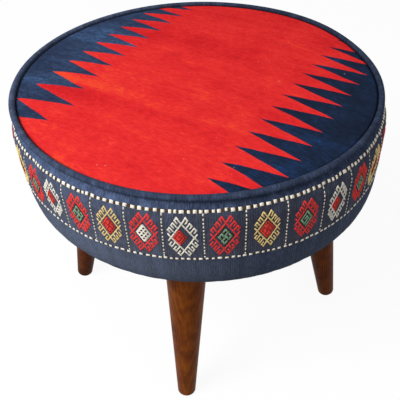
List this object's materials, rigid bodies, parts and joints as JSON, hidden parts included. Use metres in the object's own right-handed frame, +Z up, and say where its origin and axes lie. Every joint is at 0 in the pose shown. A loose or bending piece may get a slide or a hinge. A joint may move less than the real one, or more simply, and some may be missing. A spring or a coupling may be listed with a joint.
{
  "type": "footstool",
  "caption": "Round upholstered footstool with a flatwoven kilim cover and piped rim, on splayed tapered wooden legs.",
  "frame": {"origin": "on the floor, under the middle of the seat", "axes": "+Z up, the front leg at -Y, the right leg at +X"},
  "size_m": [0.464, 0.464, 0.3893],
  "materials": {
    "red_kilim": "flatwoven wool",
    "indigo_kilim": "flatwoven wool with brocading",
    "indigo_piping": "flatwoven wool over cord",
    "cotton_cord": "twisted cotton",
    "wadding": "bonded polyester",
    "foam": "open-cell foam",
    "plywood": "sanded",
    "pine": "sawn",
    "walnut": "walnut stain, satin lacquer",
    "steel": "zinc plated",
    "dust_cloth": "spunbonded cloth"
  },
  "bodies": {
    "root": {"top_cover": "red_kilim", "band_cover": "indigo_kilim", "piping_sleeve": "indigo_piping", "piping_cord": "cotton_cord", "wadding": "wadding", "seat_foam": "foam", "side_foam": "foam", "deck_board": "plywood", "base_board": "plywood", "hoop_wall": "plywood", "dust_cover": "dust_cloth", "front_right_post": "pine", "front_right_deck_screw": "steel", "front_right_base_screw": "steel", "back_right_post": "pine", "back_right_deck_screw": "steel", "back_right_base_screw": "steel", "back_left_post": "pine", "back_left_deck_screw": "steel", "back_left_base_screw": "steel", "front_left_post": "pine", "front_left_deck_screw": "steel", "front_left_base_screw": "steel", "front_leg": "walnut", "front_hanger_bolt": "steel", "front_leg_plate": "steel", "front_plate_screw_1": "steel", "front_plate_screw_2": "steel", "front_plate_screw_3": "steel", "front_plate_screw_4": "steel", "right_leg": "walnut", "right_hanger_bolt": "steel", "right_leg_plate": "steel", "right_plate_screw_1": "steel", "right_plate_screw_2": "steel", "right_plate_screw_3": "steel", "right_plate_screw_4": "steel", "back_leg": "walnut", "back_hanger_bolt": "steel", "back_leg_plate": "steel", "back_plate_screw_1": "steel", "back_plate_screw_2": "steel", "back_plate_screw_3": "steel", "back_plate_screw_4": "steel", "left_leg": "walnut", "left_hanger_bolt": "steel", "left_leg_plate": "steel", "left_plate_screw_1": "steel", "left_plate_screw_2": "steel", "left_plate_screw_3": "steel", "left_plate_screw_4": "steel"}
  },
  "joints": []
}
